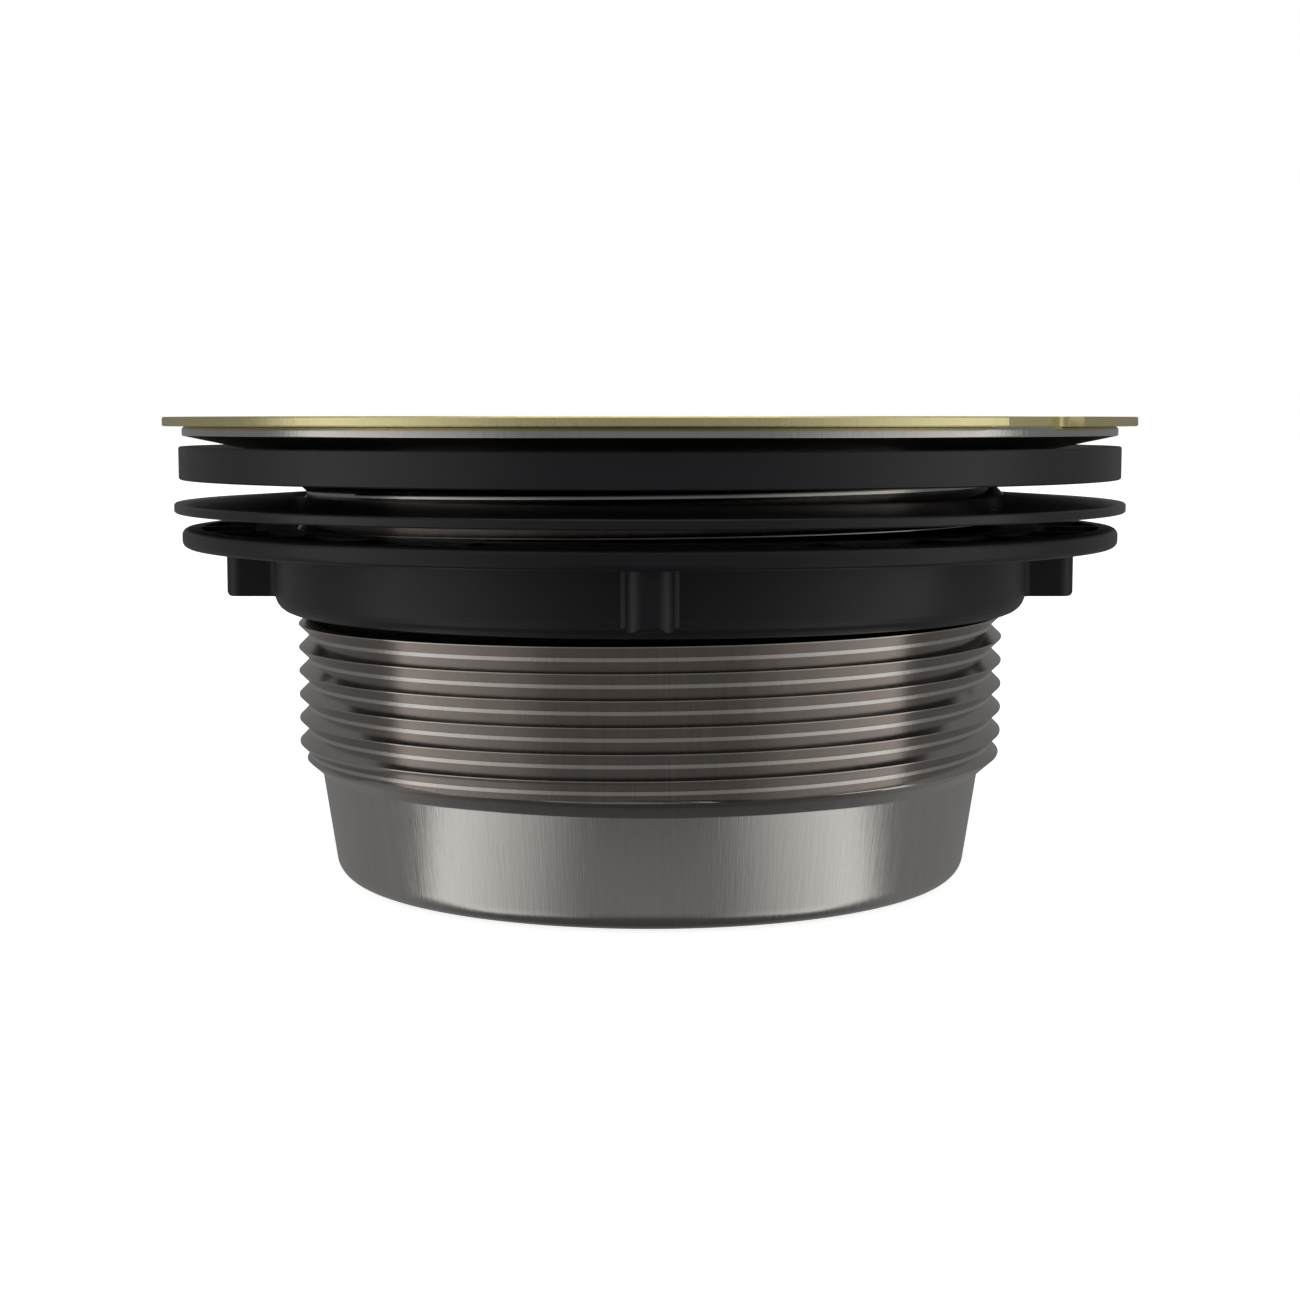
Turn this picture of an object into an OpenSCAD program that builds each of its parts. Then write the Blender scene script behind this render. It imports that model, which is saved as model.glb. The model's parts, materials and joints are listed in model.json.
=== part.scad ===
// Sink drain of a kitchen garbage disposal: flange, mounting hardware, basket strainer and cover.
// Millimetres, z = 0 at the bottom rim, +Z up the drain's axis.

/* [Drain cover] */
// Overhang of the drain cover past the flange rim
cover_over = 2.3; // [1:0.1:4]
// Thickness of the cover plate
cover_t = 1.1; // [0.8:0.1:1.6]
// Width of the finger notch in the cover's edge
notch_w = 14; // [10:1:18]
// Depth of the finger notch
notch_depth = 3; // [2:0.5:4]

/* [Sink flange] */
// Outer diameter of the flange rim
flange_d = 114.3; // [113.5:0.1:117]
// Height of the flange rim above the bottom rim
flange_h = 55.4; // [55:0.1:60]
// Thickness of the sheet the flange is drawn from
sheet_t = 1.1; // [1:0.1:1.2]
// Diameter of the outlet opening
outlet_d = 69; // [64:1:70]

/* [Thread] */
// Diameter over the thread's crests
thread_d = 87.2; // [86.6:0.1:87.6]
// Pitch of the thread
thread_pitch = 2.9; // [2.8:0.05:3.1]
// Depth of the thread
thread_depth = 1.2; // [1:0.1:1.3]

/* [Gasket and washer] */
// Outer diameter of the rubber gasket
gasket_d = 115.2; // [112:0.2:116]
// Height of the gasket at its outer edge
gasket_t = 3.9; // [3.2:0.1:4.2]
// Outer diameter of the friction washer
washer_d = 116.4; // [112:0.2:118]
// Thickness of the friction washer
washer_t = 1.1; // [0.8:0.1:1.3]

/* [Locknut] */
// Diameter of the locknut's flange
nut_d = 114.6; // [112:0.2:116]
// Height of the locknut
nut_h = 10.3; // [9.8:0.1:11]
// Diameter of the locknut's body
nut_body_d = 92.8; // [92:0.1:94]
// Number of lugs on the locknut
lug_count = 4; // [3:1:8]
// Width of a lug
lug_w = 5; // [4.4:0.1:9]

/* [Strainer basket] */
// Outer diameter of the basket's cup
basket_d = 72; // [66:1:73]
// Number of slots around the cup
slot_count = 20; // [12:1:24]

/* [Stopper] */
// Diameter of the stopper's post
post_d = 6; // [5:0.5:6.5]
// Diameter of the stopper's knob
knob_d = 19; // [16:0.5:22]
// Thickness of the stopper's rubber seal
seal_t = 2.5; // [2:0.1:2.8]

/* [Splash guard] */
// Diameter of the hole between the flaps
guard_hole_d = 24; // [20:1:32]
// Number of flaps
flap_count = 8; // [6:1:12]

/* [Hidden] */
$fn = 144;

// Gap between two pieces that rest on each other
rest_gap = 0.02;
// Radial gap of a running fit
run_gap = 0.05;
// Radial gap over the thread's crests and in its roots
thread_gap = 0.2;

// Flange and lower cup
flange_r = flange_d / 2;
rim_round = 0.4;
dish_slope = 0.213;
dish_angle = atan(dish_slope);
thread_r = thread_d / 2;
root_r = thread_r - thread_depth;
throat_r = root_r - sheet_t;
lip_round = 1.6;
cup_h = 13.2;
cup_step = 1.5;
step_rise = 1.3;
step_top = cup_h + step_rise;
cup_top_r = root_r - cup_step;
cup_fall = 1.65;
cup_round = 2.7;
cup_bend_r = cup_top_r - cup_fall - cup_round;
cup_angle = atan(cup_fall / (cup_h - cup_round));
outlet_r = outlet_d / 2;

// Thread
turn_steps = 48;
base_half = 1.4;
crest_half = 0.15;
thread_phase = 0.84;
thread_low = step_top - 1;
thread_high = dish_under(root_r) - 1;

// Mounting hardware
deck_gap = 1.3;
gasket_top = dish_under(min(gasket_d / 2, flange_r)) - deck_gap;
gasket_z = gasket_top - gasket_t;
bore_r = thread_r + thread_gap;
washer_slope = 0.061;
washer_gap = 2.85;
washer_z = gasket_z - washer_gap - washer_t;
nut_gap = 1.9;
nut_z = washer_z - nut_gap - nut_h;
nut_top = nut_z + nut_h;
nut_flange_t = 2.3;
nut_round = 0.8;
nut_body_r = nut_body_d / 2;
nut_body_round = min(2.2, nut_body_r - bore_r - 0.4);
lug_r = nut_body_r + 6.45;
lug_round = min(2, lug_w / 2 - 0.2);
lug_z = nut_z + 1.4;
recess_depth = 1.2;
recess_in = nut_body_r + 2.2;
recess_out = nut_d / 2 - 2.3;
rib_count = 24;
rib_w = 1.6;

// Basket
basket_r = basket_d / 2;
basket_t = 0.8;
basket_rim_r = 47;
basket_bend = 1.2;
basket_round = 4;
basket_z = 28.6;
slot_w = 3;
slot_low = basket_z + 6;
slot_high = flange_h - 9;
hole_r = 1.7;
bush_r = 4.5;
bush_flange_r = 8;
bush_top = basket_z + 5;
bush_low = basket_z - 3;
bush_nut_h = 2.4;
bush_nut_r = 7.5;
ring_r = 0.9;

// Stopper
post_r = post_d / 2;
seal_r = throat_r - 0.5;
seal_bevel = 0.6;
seat_slope = step_rise / cup_step;
seal_z = cup_h + seat_slope * (seal_r - seal_bevel - (cup_top_r - sheet_t)) + rest_gap;
plate_r = 33;
plate_t = 1.2;
plate_z = seal_z + seal_t;
post_washer_r = 10;
post_washer_t = 1;
post_nut_r = 5.8;
post_nut_h = 4;
post_nut_z = seal_z - post_washer_t - post_nut_h;
post_low = post_nut_z - 1.2;
clip_z = bush_top + 0.8;
clip_t = 0.8;
clip_r = 5.5;
groove_r = post_r - 0.6;
knob_z = clip_z + clip_t + 0.9;
knob_h = 10;
knob_r = knob_d / 2;
knob_top = knob_z + knob_h;
post_top = knob_z + 5;
screw_r = 1.2;
screw_head_r = 2.4;
screw_length = knob_h - 5 + 4;

// Cover
cover_r = flange_r + cover_over;
cover_z = flange_h + rest_gap;
edge_break = 0.15;
notch_angle = -44.2;
notch_round = 1;
ring_in = 48.5;
ring_out = 50;
pad_in = 51.5;
pad_out = 55;
pad_count = 4;
pad_angle = 24;

// Splash guard
guard_r = cup_bend_r - 0.2;
guard_z = sheet_t + rest_gap;
guard_h = 8.4;
guard_wall = 1.4;
bead_r = guard_r + 2.2;
bead_h = 1.5;
web_t = 1.5;
web_z = guard_z + 3.6;
web_fall = 2.4;
guard_hole_r = guard_hole_d / 2;
slit_w = 0.8;

// Height of the dish's top and bottom faces at a radius
function dish_top(r) = flange_h + dish_slope * (r - flange_r);
function dish_under(r) = dish_top(r) - sheet_t;

// Points along an arc
function arc(cx, cz, r, a0, a1, n) =
    [for (i = [0 : n]) let(a = a0 + (a1 - a0) * i / n) [cx + r * cos(a), cz + r * sin(a)]];

// Ring of rectangular section, with its edges broken
module ring(r_in, r_out, z_low, z_high, edge) {
    rotate_extrude() polygon([
        [r_in, z_low + edge],
        [r_in + edge, z_low],
        [r_out - edge, z_low],
        [r_out, z_low + edge],
        [r_out, z_high - edge],
        [r_out - edge, z_high],
        [r_in + edge, z_high],
        [r_in, z_high - edge]
    ]);
}

// Disc with a round hole
module disc(r_in, r_out, z_low, h) {
    translate([0, 0, z_low]) linear_extrude(h) difference() {
        circle(r_out);
        circle(r_in);
    }
}

// One start of a right-hand thread between two heights, fading into its base at both ends.
// No part of it reaches below floor_z.
module thread(phase, z_low, z_high, floor_z, base_r, tip_r, tip_half, fade) {
    i0 = ceil((z_low - phase) / thread_pitch * turn_steps);
    i1 = floor((z_high - phase) / thread_pitch * turn_steps);
    n = i1 - i0;
    up = tip_r > base_r;
    pts = [for (i = [0 : n])
        let(
            a = 360 * (i + i0) / turn_steps,
            z = phase + thread_pitch * (i + i0) / turn_steps,
            k = max(0.04, min(1, i / fade, (n - i) / fade)),
            tip = base_r + (tip_r - base_r) * k,
            half = base_half + (tip_half - base_half) * k,
            low = up ? -1 : 1
        )
        for (p = [[base_r, low * base_half], [base_r, -low * base_half], [tip, -low * half], [tip, low * half]])
            [p[0] * cos(a), p[0] * sin(a), max(floor_z, z + p[1])]];
    side = [for (i = [0 : n - 1], j = [0 : 3])
        let(k = (j + 1) % 4, a = i * 4 + j, b = i * 4 + k, c = a + 4, d = b + 4)
        each [[a, d, b], [a, c, d]]];
    caps = [[0, 1, 2], [0, 2, 3], [n * 4, n * 4 + 2, n * 4 + 1], [n * 4, n * 4 + 3, n * 4 + 2]];
    polyhedron(pts, concat(side, caps));
}

module sink_flange() {
    lip_r = throat_r + lip_round;
    lip_z = dish_top(lip_r) - lip_round / cos(dish_angle);
    color("#b9b4ac") {
        rotate_extrude() polygon(concat(
            [
                [flange_r - 0.1, dish_under(flange_r - 0.1)],
                [root_r + 0.8, dish_under(root_r + 0.8)],
                [root_r, dish_under(root_r) - 0.8],
                [root_r, step_top],
                [cup_top_r, cup_h]
            ],
            arc(cup_bend_r, cup_round, cup_round, -cup_angle, -90, 8),
            [[outlet_r, 0], [outlet_r, sheet_t]],
            arc(cup_bend_r, cup_round, cup_round - sheet_t, -90, -cup_angle, 6),
            [[cup_top_r - sheet_t, cup_h], [throat_r, step_top]],
            arc(lip_r, lip_z, lip_round, 180, 90 + dish_angle, 6),
            [[flange_r - rim_round, dish_top(flange_r - rim_round)]],
            arc(flange_r - rim_round, dish_top(flange_r) - rim_round, rim_round, 66, 0, 4),
            [[flange_r, dish_under(flange_r) + 0.1]]
        ));
        thread(
            thread_phase, thread_low, thread_high, step_top,
            root_r - 0.3, thread_r, crest_half, turn_steps / 2
        );
    }
}

module rubber_gasket() {
    inner_r = bore_r + 0.2;
    land = 1;
    top_r = gasket_d / 2 - land;
    color("#2b2a2c") rotate_extrude() polygon([
        [inner_r, gasket_z],
        [gasket_d / 2 - edge_break, gasket_z],
        [gasket_d / 2, gasket_z + edge_break],
        [gasket_d / 2, gasket_top - edge_break],
        [gasket_d / 2 - edge_break, gasket_top],
        [top_r, gasket_top - 0.1],
        [inner_r, gasket_top - 0.1 + dish_slope * (inner_r - top_r)]
    ]);
}

module friction_washer() {
    outer_r = washer_d / 2;
    inner_r = bore_r + 0.1;
    rise = washer_slope * (outer_r - inner_r);
    color("#1d1c1e") rotate_extrude() polygon([
        [inner_r, washer_z + rise],
        [outer_r - edge_break, washer_z],
        [outer_r, washer_z + edge_break],
        [outer_r, washer_z + washer_t - edge_break],
        [outer_r - edge_break, washer_z + washer_t],
        [inner_r, washer_z + washer_t + rise]
    ]);
}

// Plan of one lug, with its foot flared into the nut's body
module lug_plan() {
    half = lug_w / 2;
    foot = nut_body_r - 0.6;
    polygon([
        [foot, -half - 0.9],
        [nut_body_r + 0.05, -half - 0.6],
        [nut_body_r + 0.2, -half - 0.32],
        [nut_body_r + 0.45, -half - 0.1],
        [nut_body_r + 0.8, -half],
        [lug_r - lug_round, -half],
        [lug_r - lug_round, half],
        [nut_body_r + 0.8, half],
        [nut_body_r + 0.45, half + 0.1],
        [nut_body_r + 0.2, half + 0.32],
        [nut_body_r + 0.05, half + 0.6],
        [foot, half + 0.9]
    ]);
    translate([foot, lug_round - half]) square([lug_r - foot, lug_w - 2 * lug_round]);
    for (side = [-1, 1]) translate([lug_r - lug_round, side * (half - lug_round)]) circle(lug_round);
}

// Pockets between the ribs in the nut's top face
module nut_pockets() {
    difference() {
        disc(recess_in, recess_out, nut_top - recess_depth, recess_depth + 1);
        for (i = [0 : rib_count - 1])
            rotate([0, 0, (i + 0.5) * 360 / rib_count])
            translate([recess_in - 1, -rib_w / 2, nut_top - recess_depth - 1])
            cube([recess_out - recess_in + 2, rib_w, recess_depth + 3]);
    }
}

module locknut() {
    flange_low = nut_top - nut_flange_t;
    outer_r = nut_d / 2;
    color("#262527") {
        difference() {
            union() {
                rotate_extrude() polygon(concat(
                    [[bore_r, nut_z + 0.3], [bore_r + 0.3, nut_z]],
                    arc(nut_body_r - nut_body_round, nut_z + nut_body_round, nut_body_round, -90, 0, 6),
                    [[nut_body_r, flange_low - 0.6], [nut_body_r + 0.6, flange_low]],
                    arc(outer_r - nut_round, flange_low + nut_round, nut_round, -90, 0, 5),
                    arc(outer_r - nut_round, nut_top - nut_round, nut_round, 0, 90, 5),
                    [[bore_r + 0.3, nut_top], [bore_r, nut_top - 0.3]]
                ));
                for (i = [0 : lug_count - 1]) rotate([0, 0, i * 360 / lug_count]) intersection() {
                    translate([0, 0, lug_z]) linear_extrude(flange_low - lug_z + 0.5) lug_plan();
                    rotate_extrude() polygon(concat(
                        [[nut_body_r - 1.5, lug_z]],
                        arc(lug_r - nut_round, lug_z + nut_round, nut_round, -90, 0, 5),
                        [[lug_r, nut_top - 1], [nut_body_r - 1.5, nut_top - 1]]
                    ));
                }
            }
            nut_pockets();
        }
        thread(
            thread_phase + thread_pitch / 2, nut_z + 1.6, nut_top - 1.6, nut_z,
            bore_r + 0.3, root_r + thread_gap, crest_half + 0.2, turn_steps / 8
        );
    }
}

module splash_guard() {
    wall_in = guard_r - guard_wall;
    bead_z = guard_z + guard_h - bead_h;
    color("#232224") difference() {
        rotate_extrude() polygon([
            [guard_r, guard_z],
            [guard_r, bead_z - 1.2],
            [bead_r, bead_z],
            [bead_r, bead_z + bead_h],
            [wall_in, bead_z + bead_h],
            [wall_in, web_z + web_t],
            [guard_hole_r, web_z + web_t - web_fall],
            [guard_hole_r, web_z - web_fall],
            [wall_in, web_z],
            [wall_in, guard_z]
        ]);
        for (i = [0 : flap_count - 1])
            rotate([0, 0, (i + 0.5) * 360 / flap_count])
            translate([guard_hole_r - 2, -slit_w / 2, 0])
            cube([wall_in - guard_hole_r - 1, slit_w, web_z + web_t + 1]);
    }
}

module strainer_basket() {
    bend_r = basket_r + basket_bend;
    bend_out = basket_bend + basket_t;
    bend_z = dish_top(bend_r) + rest_gap + (basket_t - bend_out) / cos(dish_angle);
    foot_r = basket_r - basket_round;
    rim_z = dish_top(basket_rim_r) + rest_gap;
    rise = basket_t / cos(dish_angle);
    color("#c2beb7") difference() {
        rotate_extrude() polygon(concat(
            [[basket_rim_r, rim_z]],
            arc(bend_r, bend_z, basket_bend, 90 + dish_angle, 180, 5),
            arc(foot_r, basket_z + basket_round, basket_round, 0, -90, 6),
            [[bush_r, basket_z], [bush_r, basket_z + basket_t]],
            arc(foot_r, basket_z + basket_round, basket_round - basket_t, -90, 0, 6),
            arc(bend_r, bend_z, bend_out, 180, 90 + dish_angle, 5),
            [[basket_rim_r, rim_z + rise]]
        ));
        for (i = [0 : slot_count - 1])
            rotate([0, 0, i * 360 / slot_count])
            translate([basket_r - 3, -slot_w / 2, slot_low])
            cube([6, slot_w, slot_high - slot_low]);
        for (ring = [0 : 1], i = [0 : 7 + 8 * ring])
            rotate([0, 0, (i + 0.5 * ring) * 360 / (8 + 8 * ring)])
            translate([13.5 + 9.5 * ring, 0, basket_z - 1])
            cylinder(r = hole_r, h = 3);
    }
}

module guide_bush() {
    groove_z = basket_z + 3;
    color("#8f8c88") rotate_extrude() polygon([
        [post_r + run_gap, bush_low],
        [bush_r, bush_low],
        [bush_r, basket_z + basket_t],
        [bush_flange_r, basket_z + basket_t],
        [bush_flange_r, basket_z + 2],
        [6.5, basket_z + 2.4],
        [6.5, bush_top],
        [post_r + 2 * ring_r + 2 * rest_gap, bush_top],
        [post_r + 2 * ring_r + 2 * rest_gap, groove_z],
        [post_r + run_gap, groove_z]
    ]);
}

// Hexagonal nut with a plain hole
module hex_nut(hole, corner_r, z_low, h) {
    translate([0, 0, z_low]) linear_extrude(h) difference() {
        circle(corner_r, $fn = 6);
        circle(hole);
    }
}

module bush_nut() {
    color("#a9a6a1") hex_nut(bush_r, bush_nut_r, basket_z - bush_nut_h, bush_nut_h);
}

module post_o_ring() {
    color("#1a1a1b") translate([0, 0, basket_z + 3 + ring_r])
        rotate_extrude() translate([post_r + rest_gap + ring_r, 0]) circle(ring_r, $fn = 32);
}

module stopper_post() {
    color("#c9c6c0") difference() {
        rotate_extrude() polygon([
            [0, post_low],
            [post_r - 0.5, post_low],
            [post_r, post_low + 0.5],
            [post_r, clip_z],
            [groove_r, clip_z],
            [groove_r, clip_z + clip_t],
            [post_r, clip_z + clip_t],
            [post_r, post_top],
            [0, post_top]
        ]);
        translate([0, 0, post_top - 4]) cylinder(r = screw_r, h = 5);
    }
}

module post_clip() {
    color("#7c7a77") translate([0, 0, clip_z]) linear_extrude(clip_t) difference() {
        circle(clip_r);
        circle(groove_r);
        translate([0, -groove_r * 0.8]) square([clip_r + 1, groove_r * 1.6]);
    }
}

module stopper_knob() {
    neck_r = 5.5;
    color("#c9c6c0") difference() {
        rotate_extrude() polygon(concat(
            [[0, knob_z], [neck_r, knob_z], [neck_r, knob_z + 2.5]],
            arc(knob_r - 2, knob_z + 6, 2, -60, 60, 8),
            [[knob_r - 4, knob_top - 0.2], [knob_r - 6, knob_top], [0, knob_top]]
        ));
        translate([0, 0, knob_z - 1]) cylinder(r = post_r, h = post_top - knob_z + 1);
        translate([0, 0, knob_z]) cylinder(r = screw_r, h = knob_h + 1);
        translate([0, 0, knob_top - 1.2]) cylinder(r = screw_head_r, h = 2);
    }
}

module knob_screw() {
    color("#b5b2ac") difference() {
        rotate_extrude() polygon([
            [0, knob_top - screw_length],
            [screw_r, knob_top - screw_length],
            [screw_r, knob_top - 1.2],
            [screw_head_r, knob_top - 1.2],
            [screw_head_r, knob_top - 0.1],
            [0, knob_top - 0.1]
        ]);
        translate([-3, -0.3, knob_top - 0.7]) cube([6, 0.6, 2]);
    }
}

module seal_plate() {
    color("#bdb9b2") ring(post_r, plate_r, plate_z, plate_z + plate_t, 0.2);
}

module stopper_seal() {
    color("#1e1d1f") rotate_extrude() polygon([
        [post_r, seal_z],
        [seal_r - seal_bevel, seal_z],
        [seal_r, seal_z + seal_bevel * seat_slope],
        [seal_r, seal_z + seal_t - 0.3],
        [seal_r - 0.3, seal_z + seal_t],
        [post_r, seal_z + seal_t]
    ]);
}

module post_washer() {
    color("#b0ada7") ring(post_r, post_washer_r, seal_z - post_washer_t, seal_z, 0.1);
}

module post_nut() {
    color("#a9a6a1") hex_nut(post_r, post_nut_r, post_nut_z, post_nut_h);
}

// Cutter for the finger notch, with rounded inner corners
module notch_plan() {
    half = notch_w / 2;
    in = cover_r - notch_depth;
    translate([in + notch_round, -half]) square([notch_depth + 5, notch_w]);
    translate([in, notch_round - half]) square([notch_depth + 5, notch_w - 2 * notch_round]);
    for (side = [-1, 1]) translate([in + notch_round, side * (half - notch_round)]) circle(notch_round);
}

module drain_cover() {
    color("#b79a6c") difference() {
        rotate_extrude() polygon([
            [0, cover_z],
            [cover_r - edge_break, cover_z],
            [cover_r, cover_z + edge_break],
            [cover_r, cover_z + cover_t - edge_break],
            [cover_r - edge_break, cover_z + cover_t],
            [0, cover_z + cover_t]
        ]);
        rotate([0, 0, notch_angle]) translate([0, 0, cover_z - 1]) linear_extrude(cover_t + 2) notch_plan();
    }
}

module locating_ring() {
    color("#a8894f") ring(ring_in, ring_out, dish_top(ring_out) + 0.2, cover_z, 0.1);
}

module cover_pads() {
    color("#d8d5cf") for (i = [0 : pad_count - 1])
        rotate([0, 0, (i + 0.5) * 360 / pad_count - pad_angle / 2])
        rotate_extrude(angle = pad_angle) polygon([
            [pad_in, dish_top(pad_in) + rest_gap],
            [pad_out, dish_top(pad_out) + rest_gap],
            [pad_out, cover_z],
            [pad_in, cover_z]
        ]);
}

sink_flange();
rubber_gasket();
friction_washer();
locknut();
splash_guard();
strainer_basket();
guide_bush();
bush_nut();
post_o_ring();
stopper_post();
post_clip();
stopper_knob();
knob_screw();
seal_plate();
stopper_seal();
post_washer();
post_nut();
drain_cover();
locating_ring();
cover_pads();
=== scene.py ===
# Looks of the sink drain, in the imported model's frame. Metres, z = 0 at the bottom rim.
import json
import math

import bmesh
import bpy
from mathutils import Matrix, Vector


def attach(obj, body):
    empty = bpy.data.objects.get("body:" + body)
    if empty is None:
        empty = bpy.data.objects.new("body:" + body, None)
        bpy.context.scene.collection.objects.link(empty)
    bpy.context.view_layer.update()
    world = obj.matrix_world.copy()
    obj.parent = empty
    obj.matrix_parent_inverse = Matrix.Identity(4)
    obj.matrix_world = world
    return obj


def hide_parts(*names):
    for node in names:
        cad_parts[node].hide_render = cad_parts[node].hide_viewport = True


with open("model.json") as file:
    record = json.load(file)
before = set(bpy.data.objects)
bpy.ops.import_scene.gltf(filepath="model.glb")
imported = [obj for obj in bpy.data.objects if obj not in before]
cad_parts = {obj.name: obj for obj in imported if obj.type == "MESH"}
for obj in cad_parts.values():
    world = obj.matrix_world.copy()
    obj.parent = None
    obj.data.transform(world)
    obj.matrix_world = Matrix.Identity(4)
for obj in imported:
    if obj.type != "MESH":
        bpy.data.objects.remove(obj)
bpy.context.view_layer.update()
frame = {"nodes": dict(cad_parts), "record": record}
MM = 0.001


# ---------------------------------------------------------------- meshes

def new_object(name, bm, smooth_angle):
    """An object from a bmesh, shaded smooth except at edges sharper than the angle in degrees."""
    bmesh.ops.recalc_face_normals(bm, faces=bm.faces)
    limit = math.radians(smooth_angle)
    for f in bm.faces:
        f.smooth = True
    for e in bm.edges:
        e.smooth = len(e.link_faces) == 2 and e.calc_face_angle(0) < limit
    mesh = bpy.data.meshes.new(name)
    bm.to_mesh(mesh)
    bm.free()
    obj = bpy.data.objects.new(name, mesh)
    bpy.context.scene.collection.objects.link(obj)
    return obj


def arc(cx, cz, r, a0, a1, n):
    """Points along an arc, in degrees."""
    return [
        (cx + r * math.cos(math.radians(a0 + (a1 - a0) * i / n)),
         cz + r * math.sin(math.radians(a0 + (a1 - a0) * i / n)))
        for i in range(n + 1)
    ]


def revolve_rows(bm, profile, n):
    """An open surface turned from a profile in mm, with n vertices to each ring."""
    rings = []
    for r, z in profile:
        ring = []
        for i in range(n):
            a = 2 * math.pi * i / n
            ring.append(bm.verts.new((r * MM * math.cos(a), r * MM * math.sin(a), z * MM)))
        rings.append(ring)
    for a, b in zip(rings, rings[1:]):
        for i in range(n):
            j = (i + 1) % n
            bm.faces.new((a[i], a[j], b[j], b[i]))


def weld(bm, distance=2e-6):
    """Joins vertices that meet, and removes the edges and vertices that this leaves over."""
    bmesh.ops.remove_doubles(bm, verts=bm.verts, dist=distance)
    bmesh.ops.dissolve_degenerate(bm, edges=bm.edges, dist=distance)
    loose = [v for v in bm.verts if not v.link_faces]
    bmesh.ops.delete(bm, geom=loose, context="VERTS")


# ---------------------------------------------------------------- sizes, in mm

FLANGE_R = 57.15
FLANGE_H = 55.4
SHEET = 1.1
SLOPE = 0.213
TILT = math.degrees(math.atan(SLOPE))
MID_R = 50.0
RIM_ROUND_TOP = 0.42
RIM_ROUND_UNDER = 0.18
RIM_UNDERCUT = 0.035
ROOT_R = 42.4
CREST_R = 43.6
THROAT_R = ROOT_R - SHEET
THROAT_MID = 34.0
LIP_ROUND = 1.6
PITCH = 2.9
PHASE = 0.84
THREAD_HIGH = 50.2
THREAD_CLEAR = 1.0
CUP_H = 13.2
NECK_Z = 14.5
CUP_TOP = 40.9
CUP_ROUND = 2.7
CUP_FALL = 1.65
BEND_R = CUP_TOP - CUP_FALL - CUP_ROUND
CUP_ANGLE = math.degrees(math.atan(CUP_FALL / (CUP_H - CUP_ROUND)))
OUTLET_R = 34.5
OUTLET_EDGE = 0.1
RING_STEPS = 240

# One pitch of the thread, from the middle of one root to the next: (rise, share of the depth)
ROOT_FLAT = 0.21
FLANK = 1.18
FLANK_STEPS = 6
THREAD_FORM = (
    [(0.0, 0.0)]
    + [(ROOT_FLAT + FLANK * i / FLANK_STEPS, i / FLANK_STEPS) for i in range(FLANK_STEPS + 1)]
    + [(PITCH - ROOT_FLAT - FLANK * i / FLANK_STEPS, i / FLANK_STEPS)
       for i in range(FLANK_STEPS, -1, -1)]
)


def dish_top(r):
    return FLANGE_H + SLOPE * (r - FLANGE_R)


def neck_cone(z):
    """The chamfer below the thread, which also trims the thread's first turn."""
    return CUP_TOP + (z - CUP_H) * (ROOT_R - CUP_TOP) / (NECK_Z - CUP_H)


# ---------------------------------------------------------------- flange

def threaded_wall(bm, low, high, n):
    """The neck's threaded outside between two heights. Root flats get slot 0, the plain steel; flanks get
    slot 1, a darker steel copy that carries painted shade.
    """
    m = len(THREAD_FORM)
    k0 = math.floor((low - PHASE) / PITCH) - 2
    k1 = math.ceil((high - PHASE) / PITCH) + 1
    rows = (k1 - k0) * m
    cols = []
    for i in range(n):
        turn = i / n
        a = 2 * math.pi * turn
        col = []
        for j in range(rows):
            k, s = divmod(j, m)
            rise, share = THREAD_FORM[s]
            mid = PHASE + PITCH * (k0 + k + turn)
            z = mid - PITCH / 2 + rise
            live = max(0.0, min(1.0, (THREAD_HIGH - mid) * 2 / PITCH))
            r = ROOT_R + (CREST_R - ROOT_R) * share * live
            if z <= low or z >= high:
                z = min(max(z, low), high)
                r = ROOT_R
            r = max(ROOT_R, min(r, neck_cone(z)))
            col.append(bm.verts.new((r * MM * math.cos(a), r * MM * math.sin(a), z * MM)))
        cols.append(col)
    for i in range(n):
        nxt = cols[(i + 1) % n]
        shift = m if i == n - 1 else 0
        for j in range(rows - 1 - shift):
            f = bm.faces.new((cols[i][j], nxt[j + shift], nxt[j + 1 + shift], cols[i][j + 1]))
            f.material_index = 0 if j % m in (0, m - 1) else 1


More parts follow.
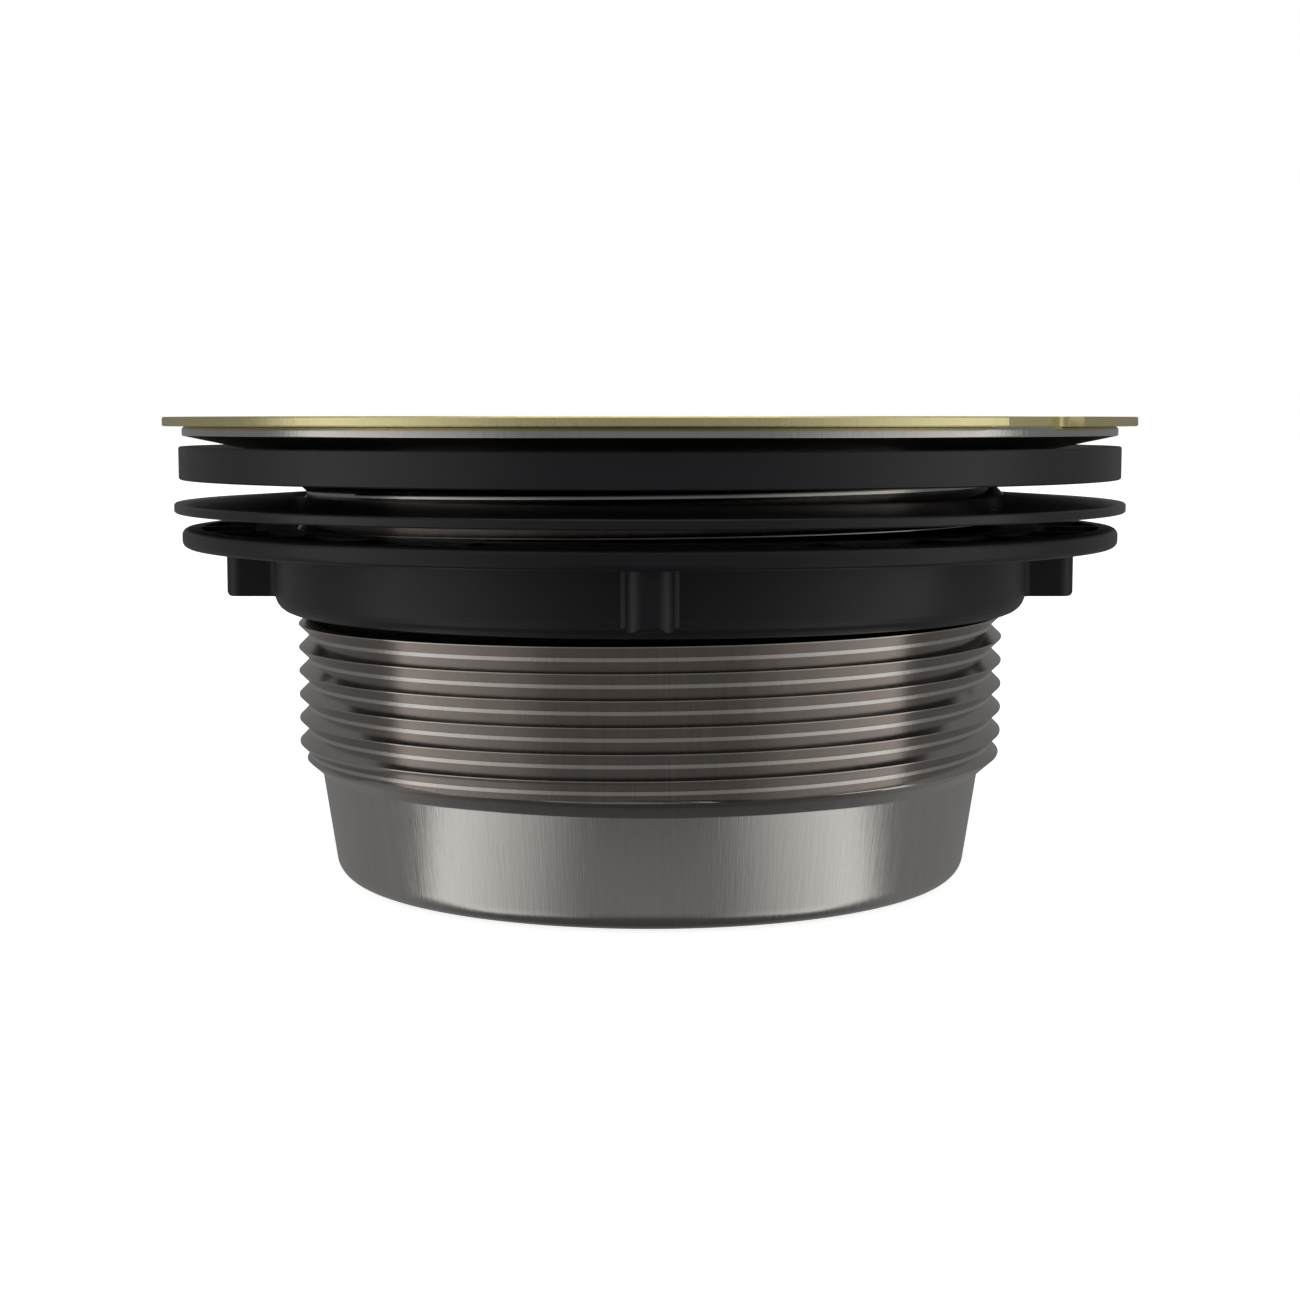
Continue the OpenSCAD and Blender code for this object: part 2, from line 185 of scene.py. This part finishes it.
def build_flange():
    """The whole sheet: thread outside, then over the rim, down the throat and round the cup."""
    bm = bmesh.new()
    low, high = NECK_Z, dish_top(ROOT_R) - SHEET - THREAD_CLEAR
    threaded_wall(bm, low, high, RING_STEPS)
    lip_r = THROAT_R + LIP_ROUND
    lip_z = dish_top(lip_r) - LIP_ROUND / math.cos(math.radians(TILT))
    under = FLANGE_H - SHEET
    edge = OUTLET_EDGE
    neck_top = [
        (ROOT_R, high),
        (ROOT_R + 0.25, high + 0.45),
        (ROOT_R + 0.9, dish_top(ROOT_R + 0.9) - SHEET),
        (MID_R, dish_top(MID_R) - SHEET),
    ]
    rim = (
        arc(FLANGE_R - RIM_ROUND_UNDER, under + RIM_ROUND_UNDER - RIM_UNDERCUT, RIM_ROUND_UNDER, -80, 0, 4)
        + arc(FLANGE_R - RIM_ROUND_TOP, FLANGE_H - RIM_ROUND_TOP, RIM_ROUND_TOP, 0, 78, 7)
    )
    dish = [(MID_R, dish_top(MID_R))] + arc(lip_r, lip_z, LIP_ROUND, 90 + TILT, 180, 9)
    throat = [
        (THROAT_R, THROAT_MID),
        (THROAT_R, NECK_Z + 0.15),
        (CUP_TOP - SHEET + 0.1, CUP_H + 0.05),
        (CUP_TOP - SHEET, CUP_H - 0.1),
    ]
    cup_inside = arc(BEND_R, CUP_ROUND, CUP_ROUND - SHEET, -CUP_ANGLE, -90, 8)
    outlet = [
        (OUTLET_R + edge, SHEET),
        (OUTLET_R, SHEET - edge),
        (OUTLET_R, edge),
        (OUTLET_R + edge, 0.0),
    ]
    cup_outside = arc(BEND_R, CUP_ROUND, CUP_ROUND, -90, -CUP_ANGLE, 12)
    neck_foot = [(CUP_TOP - 0.03, CUP_H - 0.12), (CUP_TOP + 0.05, CUP_H + 0.03), (ROOT_R, low)]
    profile = neck_top + rim + dish + throat + cup_inside + outlet + cup_outside + neck_foot
    revolve_rows(bm, profile, RING_STEPS)
    weld(bm)
    return new_object("flange_sheet", bm, 40)


# ---------------------------------------------------------------- materials

class Shader:
    """A node material with its Principled shader, and short ways to add nodes."""

    def __init__(self, name):
        self.mat = bpy.data.materials.new(name)
        self.mat.use_nodes = True
        self.tree = self.mat.node_tree
        self.bsdf = self.tree.nodes["Principled BSDF"]

    def add(self, kind, **settings):
        node = self.tree.nodes.new(kind)
        for key, value in settings.items():
            setattr(node, key, value)
        return node

    def link(self, a, b):
        self.tree.links.new(a, b)

    def feed(self, sockets, values):
        """Sets each socket to a number, or links another node's output to it."""
        for socket, value in zip(sockets, values):
            if isinstance(value, (int, float)):
                socket.default_value = value
            else:
                self.link(value, socket)

    def math(self, op, *values):
        node = self.add("ShaderNodeMath", operation=op)
        self.feed(node.inputs, values)
        return node.outputs[0]

    def combine(self, x, y, z):
        node = self.add("ShaderNodeCombineXYZ")
        self.feed(node.inputs, (x, y, z))
        return node.outputs[0]

    def place(self):
        """Object coordinates, split: (vector, x, y, z)."""
        coords = self.add("ShaderNodeTexCoord").outputs["Object"]
        split = self.add("ShaderNodeSeparateXYZ")
        self.link(coords, split.inputs[0])
        return coords, split.outputs[0], split.outputs[1], split.outputs[2]

    def noise(self, vector, scale, detail, rough):
        node = self.add("ShaderNodeTexNoise")
        node.inputs["Scale"].default_value = scale
        node.inputs["Detail"].default_value = detail
        node.inputs["Roughness"].default_value = rough
        self.link(vector, node.inputs["Vector"])
        return node.outputs["Fac"]

    def remap(self, value, from_low, from_high, low, high):
        node = self.add("ShaderNodeMapRange")
        names = ("From Min", "From Max", "To Min", "To Max")
        for socket, number in zip(names, (from_low, from_high, low, high)):
            node.inputs[socket].default_value = number
        self.link(value, node.inputs["Value"])
        return node.outputs[0]

    def ramp(self, value, low, high):
        """Remaps the middle half of a noise to low..high."""
        return self.remap(value, 0.25, 0.75, low, high)

    def tint(self, value, dark, light):
        node = self.add("ShaderNodeMix", data_type="RGBA")
        self.link(value, node.inputs["Factor"])
        node.inputs["A"].default_value = (*dark, 1)
        node.inputs["B"].default_value = (*light, 1)
        self.link(node.outputs["Result"], self.bsdf.inputs["Base Color"])

    def bump(self, height, strength, distance):
        node = self.add("ShaderNodeBump")
        node.inputs["Strength"].default_value = strength
        node.inputs["Distance"].default_value = distance
        self.link(height, node.inputs["Height"])
        self.link(node.outputs[0], self.bsdf.inputs["Normal"])


FLAT_RINGS = 6000
FLAT_TURN = 2.5
FLAT_NORMAL = 0.8
AXIS_GUARD = 1e-9
VECTOR_A, VECTOR_B, VECTOR_RESULT = 4, 5, 1


def brushed(s, across, along):
    """Brush marks: along the axis on walls, and round the axis on flat faces."""
    _, x, y, z = s.place()
    square = s.math("ADD", s.math("MULTIPLY", y, y), AXIS_GUARD)
    r = s.math("SQRT", s.math("ADD", s.math("MULTIPLY", x, x), square))
    u, v = s.math("DIVIDE", x, r), s.math("DIVIDE", y, r)
    wall = s.combine(
        s.math("MULTIPLY", u, across), s.math("MULTIPLY", v, across), s.math("MULTIPLY", z, along))
    flat = s.combine(
        s.math("MULTIPLY", u, FLAT_TURN), s.math("MULTIPLY", v, FLAT_TURN),
        s.math("MULTIPLY", r, FLAT_RINGS))
    up = s.add("ShaderNodeSeparateXYZ")
    s.link(s.add("ShaderNodeNewGeometry").outputs["True Normal"], up.inputs[0])
    pick = s.add("ShaderNodeMix", data_type="VECTOR")
    is_flat = s.math("GREATER_THAN", s.math("ABSOLUTE", up.outputs[2]), FLAT_NORMAL)
    s.link(is_flat, pick.inputs["Factor"])
    s.link(wall, pick.inputs[VECTOR_A])
    s.link(flat, pick.inputs[VECTOR_B])
    return pick.outputs[VECTOR_RESULT]


def metal(name, dark, light, rough, spread, across=260, along=260, anisotropic=0.6, bump=0.4):
    s = Shader(name)
    s.bsdf.inputs["Metallic"].default_value = 1.0
    s.bsdf.inputs["Anisotropic"].default_value = anisotropic
    s.bsdf.inputs["Anisotropic Rotation"].default_value = 0.25
    marks = brushed(s, across, along)
    fine = s.noise(marks, 1.0, 4, 0.6)
    broad = s.noise(marks, 0.22, 2, 0.5)
    both = s.math("ADD", s.math("MULTIPLY", fine, 0.7), s.math("MULTIPLY", broad, 0.3))
    s.tint(s.ramp(both, 0.0, 1.0), dark, light)
    s.link(s.ramp(both, rough - spread, rough + spread), s.bsdf.inputs["Roughness"])
    s.bump(both, bump, 2e-5)
    tangent = s.add("ShaderNodeTangent", direction_type="RADIAL", axis="Z")
    s.link(tangent.outputs[0], s.bsdf.inputs["Tangent"])
    return s.mat


def black(name, base, rough, grain, bump, specular=0.5, spread=0.05):
    s = Shader(name)
    coords, *_ = s.place()
    fine = s.noise(coords, grain, 4, 0.6)
    cloud = s.noise(coords, grain * 0.03, 2, 0.5)
    s.tint(s.ramp(cloud, 0.0, 1.0), tuple(c * 0.8 for c in base), tuple(c * 1.25 for c in base))
    s.link(s.ramp(cloud, rough - spread, rough + spread), s.bsdf.inputs["Roughness"])
    s.bsdf.inputs["Specular IOR Level"].default_value = specular
    s.bump(fine, bump, 1.5e-5)
    return s.mat


def silicone():
    s = Shader("silicone")
    coords, *_ = s.place()
    cloud = s.noise(coords, 400, 3, 0.5)
    s.tint(s.ramp(cloud, 0.0, 1.0), (0.6, 0.59, 0.55), (0.74, 0.73, 0.69))
    s.bsdf.inputs["Roughness"].default_value = 0.5
    s.bsdf.inputs["Subsurface Weight"].default_value = 0.2
    s.bsdf.inputs["Subsurface Scale"].default_value = 0.002
    s.bump(cloud, 0.2, 2e-5)
    return s.mat


STEEL = metal("brushed_stainless", (0.56, 0.535, 0.505), (0.65, 0.625, 0.595), 0.21, 0.05, bump=1.0)
# The thread flanks use a darker, browner copy of the same steel. This is painted shade standing in for the
# light lost to double reflection between the ridges, not a different finish.
FLANK_SHADE_STEEL = metal("thread_flank_painted_shade", (0.43, 0.395, 0.37), (0.55, 0.51, 0.48), 0.17, 0.04,
               anisotropic=0.0, bump=0.12)
FITTING = metal("turned_stainless", (0.56, 0.55, 0.53), (0.7, 0.69, 0.67), 0.22, 0.05,
                across=40, along=2500, anisotropic=0.3)
GOLD = metal("champagne_gold", (0.92, 0.80, 0.38), (1.0, 0.94, 0.56), 0.42, 0.16,
             anisotropic=0.9, bump=1.4)
RUBBER = black("black_rubber", (0.0095, 0.0095, 0.0135), 0.4, 3500, 0.4)
WASHER = black("satin_black_plastic", (0.008, 0.008, 0.0115), 0.32, 2500, 0.2)
NUT = black("matte_black_plastic", (0.008, 0.0082, 0.0118), 0.4, 3000, 0.35, specular=0.42)
SILICONE = silicone()

BY_SLOT = {
    "brushed_stainless": STEEL,
    "stainless_fitting": FITTING,
    "champagne_gold": GOLD,
    "black_rubber": RUBBER,
    "satin_black_plastic": WASHER,
    "matte_black_plastic": NUT,
    "silicone": SILICONE,
}
SLOT_OF = {p["node"]: p["material_slot"] for p in frame["record"]["subparts"]}


# ---------------------------------------------------------------- pieces

def piece(obj, body, mats, slot, *nodes):
    for mat in mats:
        obj.data.materials.append(mat)
    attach(obj, body)
    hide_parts(*nodes)


for node, obj in frame["nodes"].items():
    for slot in obj.material_slots:
        slot.link = "OBJECT"
        slot.material = BY_SLOT[SLOT_OF[node]]

# The second material, which darkens the thread flanks, is painted shade on the same steel sheet.
piece(build_flange(), "flange", (STEEL, FLANK_SHADE_STEEL), "brushed_stainless", "sink_flange")


# ---------------------------------------------------------------- stage and light

FLOOR_SIZE = 6.0
FLOOR_Z = -0.0002
PANEL_RADIUS = 0.7
PANEL_HALF_HEIGHT = 1.0
PANEL_FIRST = 27
PANEL_SPAN = 61
PANEL_STEPS = 24


def stage_material(name, colour, glow_near, glow_far, near, far, kind):
    """Emission that changes from near to far, by distance from the axis or azimuth from the front."""
    s = Shader(name)
    s.bsdf.inputs["Base Color"].default_value = (*colour, 1)
    s.bsdf.inputs["Roughness"].default_value = 0.9
    s.bsdf.inputs["Specular IOR Level"].default_value = 0.0
    s.bsdf.inputs["Emission Color"].default_value = (1, 1, 1, 1)
    _, x, y, _ = s.place()
    if kind == "azimuth":
        where = s.math("ARCTAN2", s.math("ABSOLUTE", x), s.math("MULTIPLY", y, -1.0))
    else:
        where = s.math("SQRT", s.math("ADD", s.math("MULTIPLY", x, x), s.math("MULTIPLY", y, y)))
    s.link(s.remap(where, near, far, glow_near, glow_far), s.bsdf.inputs["Emission Strength"])
    return s.mat


def floor_plane(mat):
    """A floor that only the camera sees, so it doesn't light the object or show in it."""
    bm = bmesh.new()
    bmesh.ops.create_grid(bm, x_segments=1, y_segments=1, size=FLOOR_SIZE)
    mesh = bpy.data.meshes.new("floor")
    bm.to_mesh(mesh)
    bm.free()
    obj = bpy.data.objects.new("floor", mesh)
    obj.location = (0, 0, FLOOR_Z)
    mesh.materials.append(mat)
    bpy.context.scene.collection.objects.link(obj)
    obj.visible_glossy = False
    obj.visible_diffuse = False
    obj.visible_shadow = False


def softbox(name, side, mat):
    """A tall curved panel round one side of the object, hidden from the camera."""
    bm = bmesh.new()
    rows = []
    for i in range(PANEL_STEPS + 1):
        a = math.radians(PANEL_FIRST + PANEL_SPAN * i / PANEL_STEPS)
        x, y = side * PANEL_RADIUS * math.sin(a), -PANEL_RADIUS * math.cos(a)
        rows.append([bm.verts.new((x, y, z)) for z in (-PANEL_HALF_HEIGHT, PANEL_HALF_HEIGHT)])
    for a, b in zip(rows, rows[1:]):
        bm.faces.new((a[0], b[0], b[1], a[1]))
    obj = new_object(name, bm, 60)
    obj.data.materials.append(mat)
    obj.visible_camera = False


def area(name, place, target, size, power):
    light = bpy.data.lights.new(name, "AREA")
    light.energy = power
    light.shape = "SQUARE"
    light.size = size
    obj = bpy.data.objects.new(name, light)
    obj.location = place
    obj.rotation_euler = (Vector(target) - Vector(place)).to_track_quat("-Z", "Y").to_euler()
    bpy.context.scene.collection.objects.link(obj)


def studio_world():
    """White to the camera. To the object, a dim even light that fades overhead and underneath."""
    world = bpy.data.worlds.new("studio")
    bpy.context.scene.world = world
    world.use_nodes = True
    nodes, links = world.node_tree.nodes, world.node_tree.links
    seen_white = nodes["Background"]
    seen_white.inputs["Color"].default_value = (1, 1, 1, 1)
    soft = nodes.new("ShaderNodeBackground")
    soft.inputs["Color"].default_value = (1, 1, 1, 1)
    rays = nodes.new("ShaderNodeLightPath")
    mix = nodes.new("ShaderNodeMixShader")
    aim = nodes.new("ShaderNodeTexCoord")
    split = nodes.new("ShaderNodeSeparateXYZ")
    steepness = nodes.new("ShaderNodeMath")
    steepness.operation = "ABSOLUTE"
    fall = nodes.new("ShaderNodeMapRange")
    names = ("From Min", "From Max", "To Min", "To Max")
    for socket, value in zip(names, (0.62, 0.9, 0.2, 0.06)):
        fall.inputs[socket].default_value = value
    links.new(aim.outputs["Generated"], split.inputs[0])
    links.new(split.outputs[2], steepness.inputs[0])
    links.new(steepness.outputs[0], fall.inputs["Value"])
    links.new(fall.outputs[0], soft.inputs["Strength"])
    links.new(rays.outputs["Is Camera Ray"], mix.inputs[0])
    links.new(soft.outputs[0], mix.inputs[1])
    links.new(seen_white.outputs[0], mix.inputs[2])
    links.new(mix.outputs[0], nodes["World Output"].inputs[0])


floor_plane(stage_material("floor", (0.9, 0.9, 0.9), 0.8, 1.1, 0.08, 0.6, "radius"))
panel = stage_material("panel", (0, 0, 0), 0.2, 1.05, math.radians(28), math.radians(88), "azimuth")
softbox("left_box", -1, panel)
softbox("right_box", 1, panel)
area("top_box", (0, -0.1, 0.9), (0, 0, 0.03), 0.8, 3)
studio_world()
bpy.context.scene.view_settings.view_transform = "Standard"


# ---------------------------------------------------------------- camera

IMAGE_WIDTH = 1300
FOCAL_PIXELS = 2281
SENSOR = 36
LOOK_DOWN = 5.73

camera = bpy.data.cameras.new("camera")
camera.sensor_width = SENSOR
camera.lens = FOCAL_PIXELS / IMAGE_WIDTH * SENSOR
camera.clip_start = 0.01
cam = bpy.data.objects.new("camera", camera)
cam.location = (0, -0.2853, 0.05602)
cam.rotation_euler = (math.radians(90 - LOOK_DOWN), 0, 0)
bpy.context.scene.collection.objects.link(cam)
bpy.context.scene.camera = cam
